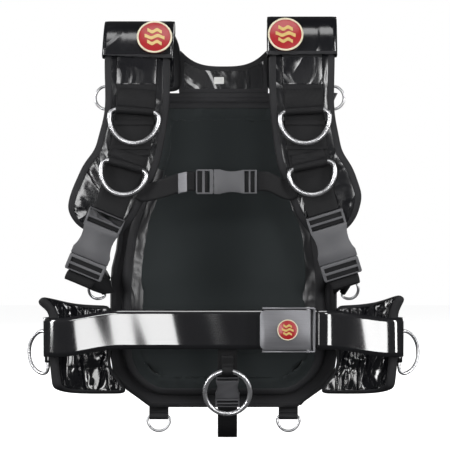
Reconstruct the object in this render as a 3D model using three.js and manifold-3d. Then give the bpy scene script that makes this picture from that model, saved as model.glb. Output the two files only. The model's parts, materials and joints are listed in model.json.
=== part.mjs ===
// A dive harness pack: the wearable half of a buoyancy compensator. A rigid plate carries a padded back
// panel, two padded shoulder straps that arch over the shoulders, hip wings, a waist belt with a cam buckle,
// a chest strap, a crotch strap and the rings that gear is clipped to.
//
// Millimetres. +Z is up, -Y faces the wearer's side (the front, where the straps close) and +X is to the
// right as seen from that side. The origin is the middle of the plate channel's rear face, where the cylinder
// bolts on. Inside this file heights are counted from the lowest strap fold, and one group lowers everything
// to the origin.

import * as THREE from "three";
import { mergeVertices } from "three/addons/utils/BufferGeometryUtils.js";
import Module from "manifold-3d";

const wasm = await Module();
wasm.setup();

// ---------------------------------------------------------------- driving dimensions

const GAP = 0.3; // between pieces that are sewn, seated or clamped together
const CURVE_GAP = 0.8; // between curved sheets, whose facets don't follow each other exactly
const CLEAR = 0.7; // between pieces that move past each other

const plate = {
  width: 262,
  bottom: 66,
  top: 446,
  neckWidth: 150,
  sheet: 3,
  channelWidth: 46,
  channelDepth: 16,
  channelSlope: 14,
  boltSpacing: 279.4,
  boltRadius: 4.5,
  slotLength: 52,
  slotHeight: 7,
  slotAcross: 84,
  slotHeights: [128, 230, 290],
  corner: 24,
};
const screw = {
  headRadius: 8,
  headHeight: 2.4,
  shaftRadius: 3,
  boreRadius: 3.5,
  beside: 11,
  belowTop: 46,
  lowerHeight: 96,
};

const panel = { thickness: 6, bottom: 38, top: 449, flatHalf: 96, curl: 9, curlSpan: 50 };
const backPad = { thickness: 20, bottom: 54, top: 438 };
const yoke = { halfWidth: 55.2, thickness: 6, neckLow: 484, neckHigh: 506 };
const label = { width: 13, height: 9, thickness: 0.8, across: 6, centreHeight: 466 };

const pad = { thickness: 10, backHeight: 449, lobeHeight: 262, topHalf: 42 };
const web = { width: 50, thickness: 2.2 };
const cuff = { thickness: 2, from: 0.215, height: 488, clearance: 0.8 };
const badge = { radius: 23, thickness: 2.5, across: 21, height: 511, lift: 0.6 };
const tabWall = 1.8; // of the webbing eye round a ring's bar

const wire = 3; // radius of the large rings' wire
const chestRing = { halfWidth: 32, drop: 42, wire, height: 420, tab: 48, tabLength: 26 };
const lowerRing = { halfWidth: 30, drop: 38, wire, height: 352, tab: 44, tabLength: 14 };
const outerRing = { halfWidth: 15, drop: 18, wire: 1.8, height: 438, inset: 5 };
const sideRing = { halfWidth: 14, drop: 17, wire: 1.8 };
const waistRing = { halfWidth: 28, drop: 30, wire: 2.4, height: 112, share: 0.88, tab: 26, rest: 30 };
const hemRing = { halfWidth: 15, drop: 20, wire: 1.8, across: 85, height: 26 };
const crotchRing = { radius: 29, wire };

const anchor = {
  height: 216,
  beside: 4.5,
  ringReach: 159,
  ringDepth: 62,
  ringHeight: 196,
  width: 20,
  lean: 0.34,
  swing: 50,
};
const shoulderBuckle = { web: 40, length: 62, bar: 21, thickness: 12, height: 292 };
const chestBuckle = { web: 25, length: 54, bar: 22, thickness: 11 };
const crotchBuckle = { web: 25, length: 34, bar: 11, thickness: 9 };

const wing = { thickness: 12, inner: 148.4, topInner: 171, bottom: 56, bottomOuter: 67 };
const wingSides = { left: { topOuter: 183, flare: 1.25 }, right: { topOuter: 187, flare: 0.6 } };
const belt = { width: 50, thickness: 2.6, frontHeight: 144, endHeight: 133 };
const camBuckle = {
  centre: 82,
  length: 66,
  height: 55,
  sheet: 1.6,
  pinRadius: 2.2,
  knuckle: 4,
  bladeHeight: 50,
};
const beltBadge = { radius: 13.5, thickness: 1.2 };

const chestStrap = { height: 331, depth: -147, width: 25, thickness: 2, buckleCentre: 4 };
const crotch = { x: 5, width: 25, thickness: 2 };
const ORIGIN_HEIGHT = (plate.bottom + plate.top) / 2;

// ---------------------------------------------------------------- materials

const finish = (color, roughness, metalness = 0) =>
  new THREE.MeshStandardMaterial({ color, roughness, metalness });
const finishes = {
  coated: finish(0x101114, 0.18),
  neoprene: finish(0x1f2426, 0.85),
  webbing: finish(0x1b1b1e, 0.7),
  beltWeb: finish(0x0d0d10, 0.15),
  cordura: finish(0x18191b, 0.8),
  plastic: finish(0x37383c, 0.4),
  steel: finish(0xc8c9cc, 0.22, 1),
  brushed: finish(0xa2a4a9, 0.4, 1),
  plateSteel: finish(0x55585c, 0.45, 1),
  badge: finish(0xb01c22, 0.35),
  label: finish(0xe8e8e6, 0.6),
};

const group = new THREE.Group();
const harness = new THREE.Group();
harness.position.z = -ORIGIN_HEIGHT;
group.add(harness);

// Adds one named piece. A matrix, where there is one, places the piece in the harness.
function piece(name, geometry, material, matrix = null) {
  const mesh = new THREE.Mesh(geometry, material);
  mesh.name = name;
  if (matrix) mesh.applyMatrix4(matrix);
  harness.add(mesh);
  return mesh;
}

// ---------------------------------------------------------------- geometry helpers

const vec = (x, y, z) => new THREE.Vector3(x, y, z);
const lerp = THREE.MathUtils.lerp;

// A geometry as a manifold-3d solid.
function solidOf(geometry) {
  const bare = new THREE.BufferGeometry();
  bare.setAttribute("position", geometry.getAttribute("position"));
  if (geometry.index) bare.setIndex(geometry.index);
  const merged = mergeVertices(bare, 1e-3);
  return new wasm.Manifold(
    new wasm.Mesh({
      numProp: 3,
      vertProperties: new Float32Array(merged.attributes.position.array),
      triVerts: new Uint32Array(merged.index.array),
    }),
  );
}

function geometryOf(solid) {
  const mesh = solid.getMesh();
  const geometry = new THREE.BufferGeometry();
  geometry.setAttribute("position", new THREE.BufferAttribute(mesh.vertProperties, 3));
  geometry.setIndex(new THREE.BufferAttribute(mesh.triVerts, 1));
  return geometry;
}

// The first geometry with the others joined to it, and then the cutters taken away.
function combine(base, joined = [], cutters = []) {
  let solid = solidOf(base);
  for (const other of joined) solid = solid.add(solidOf(other));
  for (const cutter of cutters) solid = solid.subtract(solidOf(cutter));
  return geometryOf(solid);
}

const moved = (geometry, x, y, z) => geometry.translate(x, y, z);
const box = (x, y, z) => new THREE.BoxGeometry(x, y, z);

// A shape drawn in x and z, given a thickness along y and centred on y = 0.
function slab(shape, thickness, curveSegments = 8) {
  const geometry = new THREE.ExtrudeGeometry(shape, { depth: thickness, bevelEnabled: false, curveSegments });
  return geometry.translate(0, 0, -thickness / 2).rotateX(Math.PI / 2);
}

function roundedRectangle(width, height, radius) {
  const a = width / 2;
  const b = height / 2;
  const shape = new THREE.Shape();
  shape.moveTo(-a + radius, -b);
  shape.lineTo(a - radius, -b);
  shape.absarc(a - radius, -b + radius, radius, -Math.PI / 2, 0);
  shape.lineTo(a, b - radius);
  shape.absarc(a - radius, b - radius, radius, 0, Math.PI / 2);
  shape.lineTo(-a + radius, b);
  shape.absarc(-a + radius, b - radius, radius, Math.PI / 2, Math.PI);
  shape.lineTo(-a, -b + radius);
  shape.absarc(-a + radius, -b + radius, radius, Math.PI, 1.5 * Math.PI);
  return shape;
}

// A cylinder along the x, y or z axis.
function rod(radius, length, axis, sides = 16) {
  const geometry = new THREE.CylinderGeometry(radius, radius, length, sides);
  if (axis === "x") geometry.rotateZ(Math.PI / 2);
  if (axis === "z") geometry.rotateX(Math.PI / 2);
  return geometry;
}

// A smooth function through [input, output] pairs.
function profile(pairs) {
  return (input) => {
    const last = pairs.length - 1;
    if (input <= pairs[0][0]) return pairs[0][1];
    if (input >= pairs[last][0]) return pairs[last][1];
    const next = pairs.findIndex(([at]) => at > input);
    const [x0, y0] = pairs[next - 1];
    const [x1, y1] = pairs[next];
    return lerp(y0, y1, THREE.MathUtils.smoothstep(input, x0, x1));
  };
}

// A closed sheet of one thickness, or of thickness(u, v), centred on surface(u, v) for u and v from 0 to 1.
function sheet(surface, thickness, across, along) {
  const geometry = new THREE.BoxGeometry(1, 1, 1, across, along, 1);
  const position = geometry.getAttribute("position");
  const step = 1e-3;
  const thicknessAt = typeof thickness === "function" ? thickness : () => thickness;
  for (let i = 0; i < position.count; i += 1) {
    const u = position.getX(i) + 0.5;
    const v = position.getY(i) + 0.5;
    const acrossWay = surface(Math.min(u + step, 1), v).sub(surface(Math.max(u - step, 0), v));
    const alongWay = surface(u, Math.min(v + step, 1)).sub(surface(u, Math.max(v - step, 0)));
    const normal = acrossWay.cross(alongWay).normalize();
    const point = surface(u, v).addScaledVector(normal, position.getZ(i) * thicknessAt(u, v));
    position.setXYZ(i, point.x, point.y, point.z);
  }
  return geometry;
}

// A closed wire along a flat closed outline drawn in x and z.
function wireLoop(outline, radius, around = 22, sides = 6) {
  const geometry = new THREE.TorusGeometry(2, 1, sides, around);
  const position = geometry.getAttribute("position");
  for (let i = 0; i < position.count; i += 1) {
    const [x, y, z] = [position.getX(i), position.getY(i), position.getZ(i)];
    const share = (Math.atan2(y, x) / (2 * Math.PI) + 1) % 1;
    const centre = outline.getPointAt(share);
    const tangent = outline.getTangentAt(share);
    const outward = (Math.hypot(x, y) - 2) * radius;
    position.setXYZ(i, centre.x + tangent.y * outward, -z * radius, centre.y - tangent.x * outward);
  }
  return geometry;
}

// A D-shaped outline: its straight bar lies on x at the top, and the bow hangs below it.
function ringOutline({ halfWidth, drop }) {
  const corner = Math.min(halfWidth, drop) * 0.22;
  const outline = new THREE.Path();
  outline.moveTo(0, 0);
  outline.lineTo(-halfWidth + corner, 0);
  outline.absarc(-halfWidth + corner, -corner, corner, Math.PI / 2, Math.PI);
  outline.absellipse(0, -corner, halfWidth, drop - corner, Math.PI, 2 * Math.PI);
  outline.absarc(halfWidth - corner, -corner, corner, 0, Math.PI / 2);
  outline.lineTo(0, 0);
  return outline;
}

const dRing = (ring) => wireLoop(ringOutline(ring), ring.wire);

// A webbing tab folded round a ring's bar, which lies on x at the origin. The tab runs up from it.
function ringTab(width, ring, length, play = CLEAR, tabThickness = 2.4) {
  const inner = ring.wire + play;
  const outer = inner + tabWall;
  const sides = 14;
  const eye = rod(outer, width, "x", sides);
  const tab = moved(
    box(width, tabThickness, length + outer / 2), 0, outer - tabThickness / 2, length / 2 + outer / 4);
  return combine(eye, [tab], [rod(inner, width + 2, "x", sides)]);
}

// ---------------------------------------------------------------- shoulder line

// The middle of each shoulder strap, from the back panel over the shoulder and down the front. The two hang
// at slightly different slants, and one stands a little higher over the shoulder and has a wider end.
const shoulderSides = {
  left: {
    sign: -1,
    rise: 0,
    lobe: 9,
    collar: 8,
    reach: [106, 106, 107, 107, 108, 110, 112, 120, 133, 149, 162, 184],
  },
  right: {
    sign: 1,
    rise: 6,
    lobe: 0,
    collar: 4,
    reach: [104, 103, 102, 101, 100, 100, 102, 107, 117, 129, 139, 155],
  },
};
const shoulderDepths = [-23, -26, -44, -76, -106, -119, -126, -129, -129, -127, -123, -115];
const shoulderHeights = [pad.backHeight, 488, 519, 528, 520, 481, 420, 365, 325, 285, 255, 212];
const riseShares = [0, 0.3, 1, 1, 1, 0.5, 0, 0, 0, 0, 0, 0];

function shoulderCurve({ sign, rise, reach }) {
  const points = shoulderHeights.map((height, i) =>
    vec(sign * reach[i], shoulderDepths[i], height + rise * riseShares[i]));
  return new THREE.CatmullRomCurve3(points, false, "catmullrom", 0.5);
}

// The frame on a strap's curve: x across the strap, y into the wearer and z back up the strap.
function strapFrame(curve, share, outward = 0, across = 0) {
  const up = curve.getTangentAt(share).negate();
  const inward = vec(0, up.z, -up.y).normalize();
  const side = inward.clone().cross(up);
  const origin = curve.getPointAt(share).addScaledVector(inward, -outward).addScaledVector(side, across);
  return { side, inward, up, origin };
}

function strapMatrix(curve, share, outward = 0, across = 0) {
  const frame = strapFrame(curve, share, outward, across);
  return new THREE.Matrix4().makeBasis(frame.side, frame.inward, frame.up).setPosition(frame.origin);
}

// A strip along a strap's curve, between two shares of its length. edges(share) gives its two sides, and
// outward(share) how far in front of the curve it lies.
function strip(curve, from, to, edges, outward, thickness, across, along) {
  const outwardAt = typeof outward === "function" ? outward : () => outward;
  const surface = (u, v) => {
    const share = lerp(from, to, v);
    const [low, high] = edges(share);
    return strapFrame(curve, share, outwardAt(share), lerp(low, high, u)).origin;
  };
  return sheet(surface, thickness, across, along);
}

// The share of a curve's length at which it comes down to a height, on its falling side.
function shareAtHeight(curve, height, from = 0.35, to = 1) {
  let [low, high] = [from, to];
  for (let i = 0; i < 40; i += 1) {
    const middle = (low + high) / 2;
    if (curve.getPointAt(middle).z > height) low = middle;
    else high = middle;
  }
  return low;
}

// ---------------------------------------------------------------- side-release buckles

// Sizes that follow from a buckle's webbing width.
function buckleSizes({ web: width, length, bar, thickness }) {
  return {
    half: width * 0.62,
    length,
    thickness,
    wall: thickness * 0.2,
    barLength: bar,
    slotHalf: width / 2 + 1,
    slot: bar * 0.28,
    reach: length * 0.44,
    waist: width * 0.42,
  };
}

// The socket half: its mouth faces down at z = 0, and its webbing bar is at the top.
function buckleSocket(buckle) {
  const s = buckleSizes(buckle);
  const shape = new THREE.Shape();
  const shoulder = s.length * 0.68;
  shape.moveTo(-s.half, 0);
  shape.lineTo(s.half, 0);
  shape.lineTo(s.half, s.length * 0.14);
  shape.quadraticCurveTo(s.waist, s.length * 0.38, s.half * 0.96, shoulder);
  shape.lineTo(s.half * 0.96, s.length);
  shape.lineTo(-s.half * 0.96, s.length);
  shape.lineTo(-s.half * 0.96, shoulder);
  shape.quadraticCurveTo(-s.waist, s.length * 0.38, -s.half, s.length * 0.14);
  shape.closePath();
  const pocketTop = s.reach + 1;
  const pocket = moved(
    box(2 * s.half - 2 * s.wall, s.thickness - 2 * s.wall, pocketTop + 1), 0, 0, (pocketTop - 1) / 2);
  const slotHeight = Math.min(s.slot, s.length * 0.1);
  const slots = [0.24, 0.1].map((share) =>
    moved(box(2 * s.slotHalf, s.thickness + 2, slotHeight), 0, 0, s.length * (1 - share)));
  return combine(slab(shape, s.thickness, 6), [], [pocket, ...slots]);
}

// The plug half: a ladder for the webbing below z = 0, and a tongue with two spring arms that reach up.
function bucklePlug(buckle) {
  const s = buckleSizes(buckle);
  const armThickness = s.thickness - 2 * s.wall - 2 * CLEAR;
  const armOut = s.half - s.wall - CLEAR;
  const base = slab(roundedRectangle(2 * s.half, s.barLength, 2.5), s.thickness, 3)
    .translate(0, 0, -s.barLength / 2 - CLEAR);
  const ladder = [0.35, 0.78].map((share) =>
    moved(box(2 * s.slotHalf, s.thickness + 2, s.slot), 0, 0, -CLEAR - s.barLength * share));
  const armShape = new THREE.Shape();
  armShape.moveTo(armOut * 0.55, -CLEAR - 2);
  armShape.lineTo(armOut * 0.85, -CLEAR - 2);
  armShape.quadraticCurveTo(armOut * 0.95, s.reach * 0.4, armOut, s.reach * 0.55);
  armShape.quadraticCurveTo(armOut, s.reach * 0.85, armOut * 0.8, s.reach);
  armShape.quadraticCurveTo(armOut * 0.62, s.reach * 0.5, armOut * 0.55, -CLEAR - 2);
  const arm = slab(armShape, armThickness, 4);
  const otherArm = arm.clone().rotateZ(Math.PI);
  const tongueLength = s.reach * 0.8 + 2;
  const tongue = moved(
    box(armOut * 0.42, armThickness * 0.7, tongueLength), 0, 0, tongueLength / 2 - 2 - CLEAR);
  return combine(base, [arm, otherArm, tongue], ladder);
}

// ---------------------------------------------------------------- back: plate, panel, pad, yoke

// A point in front of the plate by depth, on sheets that curl forward past their flat middle.
function curled(x, z, depth) {
  const past = Math.max(0, Math.abs(x) - panel.flatHalf) / panel.curlSpan;
  const slope = (-2 * Math.sign(x) * panel.curl * past) / panel.curlSpan;
  const forward = vec(slope, -1, 0).normalize();
  return vec(x, panelFace - panel.curl * past * past, z).addScaledVector(forward, depth);
}

const panelHalfWidth = profile([
  [panel.bottom, 96], [60, 128], [92, 148], [205, 148], [264, 138], [325, 114], [380, 112], [425, 138],
  [panel.top, 149],
]);
const padHalfWidth = profile([
  [backPad.bottom, 92], [68, 122], [96, 137], [212, 137], [264, 129], [325, 106], [372, 90],
  [backPad.top, 84],
]);

const panelFace = -(plate.channelDepth + plate.sheet); // the plate's front face, which the panel lies on
const panelDepth = GAP + panel.thickness / 2;
const padDepth = GAP + panel.thickness + CURVE_GAP + backPad.thickness / 2;
const panelMiddle = panelFace - panelDepth;

// A sheet on the panel's curled surface, between two heights.
function backSheet(bottom, top, halfWidth, depth, thickness, across, along) {
  const surface = (u, v) => {
    const z = lerp(bottom, top, v);
    return curled((2 * u - 1) * halfWidth(z), z, depth);
  };
  return sheet(surface, thickness, across, along);
}

function plateGeometry() {
  const half = plate.channelWidth / 2;
  const foot = half + plate.channelSlope;
  const edge = plate.width / 2;
  const [flange, t] = [-plate.channelDepth, plate.sheet];
  const section = new THREE.Shape([
    [-edge, flange], [-foot, flange], [-half, 0], [half, 0], [foot, flange], [edge, flange],
    [edge, flange - t], [foot + 1, flange - t], [half + 1 - t, -t],
    [t - 1 - half, -t], [-foot - 1, flange - t], [-edge, flange - t],
  ].map(([x, y]) => new THREE.Vector2(x, y)).reverse());
  const height = plate.top - plate.bottom;
  const bent = new THREE.ExtrudeGeometry(section, { depth: height, bevelEnabled: false });
  bent.translate(0, 0, plate.bottom);

  // The plate narrows towards the neck and has round corners.
  const outline = new THREE.Shape();
  const neck = plate.neckWidth / 2;
  const waistHeight = lerp(plate.bottom, plate.top, 0.55);
  outline.moveTo(-edge + plate.corner, plate.bottom);
  outline.lineTo(edge - plate.corner, plate.bottom);
  outline.quadraticCurveTo(edge, plate.bottom, edge, plate.bottom + plate.corner);
  outline.lineTo(edge, waistHeight);
  outline.quadraticCurveTo(neck, lerp(waistHeight, plate.top, 0.5), neck, plate.top - plate.corner);
  outline.quadraticCurveTo(neck, plate.top, neck - plate.corner, plate.top);
  outline.lineTo(-neck + plate.corner, plate.top);
  outline.quadraticCurveTo(-neck, plate.top, -neck, plate.top - plate.corner);
  outline.quadraticCurveTo(-neck, lerp(waistHeight, plate.top, 0.5), -edge, waistHeight);
  outline.lineTo(-edge, plate.bottom + plate.corner);
  outline.quadraticCurveTo(-edge, plate.bottom, -edge + plate.corner, plate.bottom);
  let solid = solidOf(bent).intersect(solidOf(slab(outline, 4 * plate.channelDepth, 6)));
  const through = 4 * plate.channelDepth;
  const cutters = [];
  for (const sign of [-1, 1]) {
    const boltHeight = ORIGIN_HEIGHT + (sign * plate.boltSpacing) / 2;
    cutters.push(moved(rod(plate.boltRadius, through, "y", 20), 0, 0, boltHeight));
    for (const z of plate.slotHeights) {
      cutters.push(moved(box(plate.slotLength, through, plate.slotHeight), sign * plate.slotAcross, 0, z));
    }
    for (const z of screwHeights) {
      cutters.push(moved(rod(screw.boreRadius, through, "y", 12), sign * screwAcross, 0, z));
    }
  }
  for (const cutter of cutters) solid = solid.subtract(solidOf(cutter));
  return geometryOf(solid);
}

const screwAcross = plate.channelWidth / 2 + plate.channelSlope + screw.beside;
const screwHeights = [screw.lowerHeight, plate.top - screw.belowTop];

// A screw through the plate and the panel, with its head behind the plate. Its tip stops inside the panel.
function bookScrew() {
  const shaftLength = plate.sheet + panel.thickness;
  const head = moved(rod(screw.headRadius, screw.headHeight, "y", 18), 0, screw.headHeight / 2 + GAP, 0);
  const shaft = moved(rod(screw.shaftRadius, shaftLength, "y", 12), 0, GAP + 0.5 - shaftLength / 2, 0);
  return combine(head, [shaft]);
}

function panelGeometry() {
  const flat = backSheet(panel.bottom, panel.top, panelHalfWidth, panelDepth, panel.thickness, 14, 18);
  const tabs = [-1, 1].map((sign) => ringTab(24, hemRing, 18).translate(
    sign * hemRing.across, panelMiddle, hemRing.height));
  const bores = screwHeights.flatMap((z) => [-1, 1].map((sign) =>
    moved(rod(screw.boreRadius, 3 * panel.thickness, "y", 12), sign * screwAcross, panelMiddle, z)));
  return combine(flat, tabs, bores);
}

piece("back_plate", plateGeometry(), finishes.plateSteel);
piece("rear_panel", panelGeometry(), finishes.cordura);
for (const [row, z] of screwHeights.entries()) {
  for (const [side, sign] of [["left", -1], ["right", 1]]) {
    piece(`book_screw_${["lower", "upper"][row]}_${side}`, bookScrew(), finishes.steel,
      new THREE.Matrix4().setPosition(sign * screwAcross, -plate.channelDepth, z));
  }
}
piece("back_pad", backSheet(backPad.bottom, backPad.top, padHalfWidth, padDepth, backPad.thickness, 14, 18),
  finishes.neoprene);

// The yoke fills the space between the shoulder straps, up to the neck.
const yokeSurface = (u, v) => {
  const x = (2 * u - 1) * yoke.halfWidth;
  const share = (2 * u - 1) ** 2;
  const neck = lerp(yoke.neckLow, yoke.neckHigh, share ** 1.6);
  return vec(x, panelMiddle, lerp(panel.top + GAP, neck, v));
};
piece("yoke", sheet(yokeSurface, yoke.thickness, 12, 4), finishes.coated);
const labelDepth = panelMiddle - yoke.thickness / 2 - GAP - label.thickness / 2;
piece("size_label", slab(roundedRectangle(label.width, label.height, 1), label.thickness, 2), finishes.label,
  new THREE.Matrix4().setPosition(-label.across, labelDepth, label.centreHeight));

// ---------------------------------------------------------------- shoulders

const padOuterLine = (lobe) => profile([
  [pad.lobeHeight, 20 + lobe], [276, 42 + lobe], [300, 54], [325, 53], [372, 43], [420, 39],
  [500, pad.topHalf],
]);
const padInner = profile([
  [pad.lobeHeight, 18], [276, 27], [298, 34], [325, 37], [372, 41], [440, 43], [500, pad.topHalf],
]);

for (const [side, shape] of Object.entries(shoulderSides)) {
  const curve = shoulderCurve(shape);
  const { sign } = shape;
  const padOuter = padOuterLine(shape.lobe);
  const padEnd = shareAtHeight(curve, pad.lobeHeight);
  const topHeight = shoulderHeights[3];

  // The pad's two edges: a wide collar behind the shoulder, and its outline down the front.
  const padEdges = (share) => {
    const point = curve.getPointAt(share);
    const height = share > 0.3 ? point.z : topHeight;
    const collar = shape.collar * (1 - THREE.MathUtils.smoothstep(share, 0.12, 0.2));
    const [outer, inner] = [padOuter(height), padInner(height) + collar];
    return sign < 0 ? [-outer, inner] : [-inner, outer];
  };
  piece(`shoulder_pad_${side}`, strip(curve, 0.004, padEnd, padEdges, 0, pad.thickness, 4, 44),
    finishes.coated);

  // The webbing runs over the pad from behind the shoulder to the buckle.
  const webOut = pad.thickness / 2 + CURVE_GAP + web.thickness / 2;
  const socketAt = shareAtHeight(curve, shoulderBuckle.height);
  const webEdges = (share) => {
    const narrow = THREE.MathUtils.smoothstep(share, shareAtHeight(curve, 338), shareAtHeight(curve, 312));
    const half = lerp(web.width, shoulderBuckle.web, narrow) / 2;
    return [-half, half];
  };
  const socketOut = pad.thickness / 2 + CLEAR + shoulderBuckle.thickness / 2;
  const lift = (share) => THREE.MathUtils.smoothstep(share, shareAtHeight(curve, 319), socketAt);
  const webOutAt = (share) => lerp(webOut, socketOut, lift(share));
  piece(`shoulder_web_${side}`, strip(curve, 0.06, socketAt, webEdges, webOutAt, web.thickness, 2, 44),
    finishes.webbing);

  // The cuff wraps the pad and the webbing at the top of the shoulder.
  const cuffTo = shareAtHeight(curve, cuff.height + shape.rise / 2, 0.3);
  const cuffHalf = pad.topHalf + cuff.clearance;
  const cuffFront = webOut + web.thickness / 2 + cuff.clearance;
  const cuffRear = -(pad.thickness / 2 + cuff.clearance);
  const sleeve = (grow, longer, along) => strip(
    curve, cuff.from - longer, cuffTo + longer, () => [-cuffHalf - grow, cuffHalf + grow],
    (cuffFront + cuffRear) / 2, cuffFront - cuffRear + 2 * grow, 4, along);
  piece(`shoulder_cuff_${side}`, combine(sleeve(cuff.thickness, 0, 12), [], [sleeve(0, 0.02, 16)]),
    finishes.coated);

  const badgeOut = cuffFront + cuff.thickness + badge.lift + badge.thickness / 2;
  const badgeAt = shareAtHeight(curve, badge.height + shape.rise / 2, 0.3);
  piece(`cuff_badge_${side}`, rod(badge.radius, badge.thickness, "y", 28), finishes.badge,
    strapMatrix(curve, badgeAt, badgeOut, -sign * badge.across));

  // Two rings on the webbing, each in a sewn keeper.
  for (const [name, ring] of [["chest_ring", chestRing], ["lower_ring", lowerRing]]) {
    const out = webOut + web.thickness / 2 + GAP + ring.wire + CLEAR + tabWall;
    const place = strapMatrix(curve, shareAtHeight(curve, ring.height), out);
    piece(`${name}_keeper_${side}`, ringTab(ring.tab, ring, ring.tabLength), finishes.webbing, place);
    piece(`${name}_${side}`, dRing(ring), finishes.steel, place);
  }

  // A small ring behind the pad's outer edge, with its bar upright.
  const upright = new THREE.Matrix4().makeRotationY((-sign * Math.PI) / 2);
  const outerBehind = pad.thickness / 2 + GAP + tabWall + CLEAR + outerRing.wire;
  const outerAcross = sign * (padOuter(outerRing.height) - outerRing.inset);
  const outerPlace = strapMatrix(
    curve, shareAtHeight(curve, outerRing.height), -outerBehind, outerAcross).multiply(upright);
  piece(`outer_ring_tab_${side}`, ringTab(18, outerRing, 0.5), finishes.webbing, outerPlace);
  piece(`outer_ring_${side}`, dRing(outerRing), finishes.steel, outerPlace);

  // The release buckle at the strap's end.
  const socketPlace = strapMatrix(curve, socketAt, socketOut).multiply(
    new THREE.Matrix4().setPosition(0, 0, -shoulderBuckle.length - GAP));
  piece(`shoulder_buckle_socket_${side}`, buckleSocket(shoulderBuckle), finishes.plastic, socketPlace);
  piece(`shoulder_buckle_plug_${side}`, bucklePlug(shoulderBuckle), finishes.plastic, socketPlace);

  // A tab on the panel's edge holds a small ring, and the lower webbing comes forward from it to the plug.
  const edgeReach = panelHalfWidth(anchor.height) + anchor.beside;
  const panelEdge = curled(sign * edgeReach, anchor.height, panelDepth);
  const ringEnd = vec(sign * anchor.ringReach, -anchor.ringDepth, anchor.ringHeight);
  const up = panelEdge.clone().sub(ringEnd);
  const tabLength = up.length() - 1;
  up.normalize();
  const barWay = vec(anchor.lean, 0, sign);
  const across = barWay.addScaledVector(up, -barWay.dot(up)).normalize();
  const anchorPlace = new THREE.Matrix4()
    .makeBasis(across, up.clone().cross(across), up).setPosition(ringEnd);
  piece(`side_anchor_${side}`, ringTab(anchor.width, sideRing, tabLength), finishes.webbing, anchorPlace);
  const swung = new THREE.Matrix4().makeRotationX(THREE.MathUtils.degToRad(anchor.swing));
  piece(`side_ring_${side}`, dRing(sideRing), finishes.steel, anchorPlace.clone().multiply(swung));

  const plugFoot = vec(0, 0, -shoulderBuckle.bar - CLEAR - 2 * GAP).applyMatrix4(socketPlace);
  const plugBelow = vec(0, 2, -shoulderBuckle.bar - 14).applyMatrix4(socketPlace);
  const onTab = (y, z) => vec(0, y, z).applyMatrix4(anchorPlace);
  const lowerCurve = new THREE.CatmullRomCurve3(
    [plugFoot, plugBelow, onTab(-12, -2), onTab(-7, 9), onTab(0.6, 24), onTab(0.6, tabLength - 8)],
    false, "catmullrom", 0.5);
  const plugAcross = vec(1, 0, 0).transformDirection(socketPlace);
  const lowerSurface = (u, v) => {
    const half = lerp(shoulderBuckle.web / 2 - 1, anchor.width / 2, v);
    const way = plugAcross.clone().lerp(across, THREE.MathUtils.smoothstep(v, 0.1, 0.7)).normalize();
    return lowerCurve.getPointAt(v).addScaledVector(way, lerp(-half, half, u));
  };
  piece(`lower_web_${side}`, sheet(lowerSurface, web.thickness, 2, 18), finishes.webbing);
}

// ---------------------------------------------------------------- waist: wings, belt and cam buckle

// A wing's middle, seen from above, from the panel's edge to its outer end.
const wingCurve = new THREE.CatmullRomCurve3(
  [vec(wing.inner, -33, 0), vec(176, -39, 0), vec(200, -55, 0), vec(220, -90, 0)],
  false, "catmullrom", 0.5);

// A point at a share of the wing's length, outside its middle by a distance, at a height.
function wingPoint(side, share, outside, z) {
  const tangent = wingCurve.getTangentAt(share);
  const point = wingCurve.getPointAt(share).add(vec(-tangent.y, tangent.x, 0).multiplyScalar(outside));
  const beltTop = belt.endHeight + belt.width / 2 + 8;
  const beltFoot = belt.endHeight - belt.width / 2 - 2;
  const above = wingSides[side].flare * Math.max(0, z - beltTop);
  const flare = share ** 2 * (above - 0.12 * Math.max(0, beltFoot - z));
  const tuck = (1 - share) ** 2 * (panelHalfWidth(z) - panelHalfWidth(belt.endHeight));
  return vec(shoulderSides[side].sign * (point.x + flare + Math.min(0, tuck)), point.y, z);
}

function wingGeometry(side) {
  const top = (share) => lerp(wing.topInner, wingSides[side].topOuter, share ** 2);
  const foot = (share) => lerp(wing.bottom, wing.bottomOuter, share ** 3);
  const surface = (u, v) => {
    const share = side === "right" ? u : 1 - u;
    return wingPoint(side, share, 0, lerp(foot(share), top(share), v));
  };
  return sheet(surface, wing.thickness, 10, 13);
}

const beltOutside = wing.thickness / 2 + 1.5 * CURVE_GAP + belt.thickness / 2;

// The belt's line: behind the panel's edge, along the wing, round its end and across the front.
function beltCurve(side, frontPoints) {
  const { sign } = shoulderSides[side];
  const rear = [vec(sign * 134, panelFace - 2.6, 0)];
  for (const share of [0.02, 0.25, 0.5, 0.75, 0.97]) {
    rear.push(wingPoint(side, share, beltOutside, belt.endHeight));
  }
  const turn = [[229.5, -98], [226, -107], [212, -114], [180, -120]].map(([x, y]) => vec(sign * x, y, 0));
  return new THREE.CatmullRomCurve3([...rear, ...turn, ...frontPoints], false, "catmullrom", 0.5);
}

const beltHeight = (x) =>
  lerp(belt.frontHeight, belt.endHeight, THREE.MathUtils.smoothstep(Math.abs(x), 130, 215));

function beltGeometry(curve, along, ringPlace) {
  const surface = (u, v) => {
    const point = curve.getPointAt(v);
    return vec(point.x, point.y, beltHeight(point.x) + (u - 0.5) * belt.width);
  };
  const eye = ringTab(waistRing.tab, waistRing, 0.5).applyMatrix4(ringPlace);
  const bore = rod(waistRing.wire + CLEAR, waistRing.tab + 2, "x", 14).applyMatrix4(ringPlace);
  return combine(sheet(surface, belt.thickness, 2, along), [eye], [bore]);
}

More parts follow.
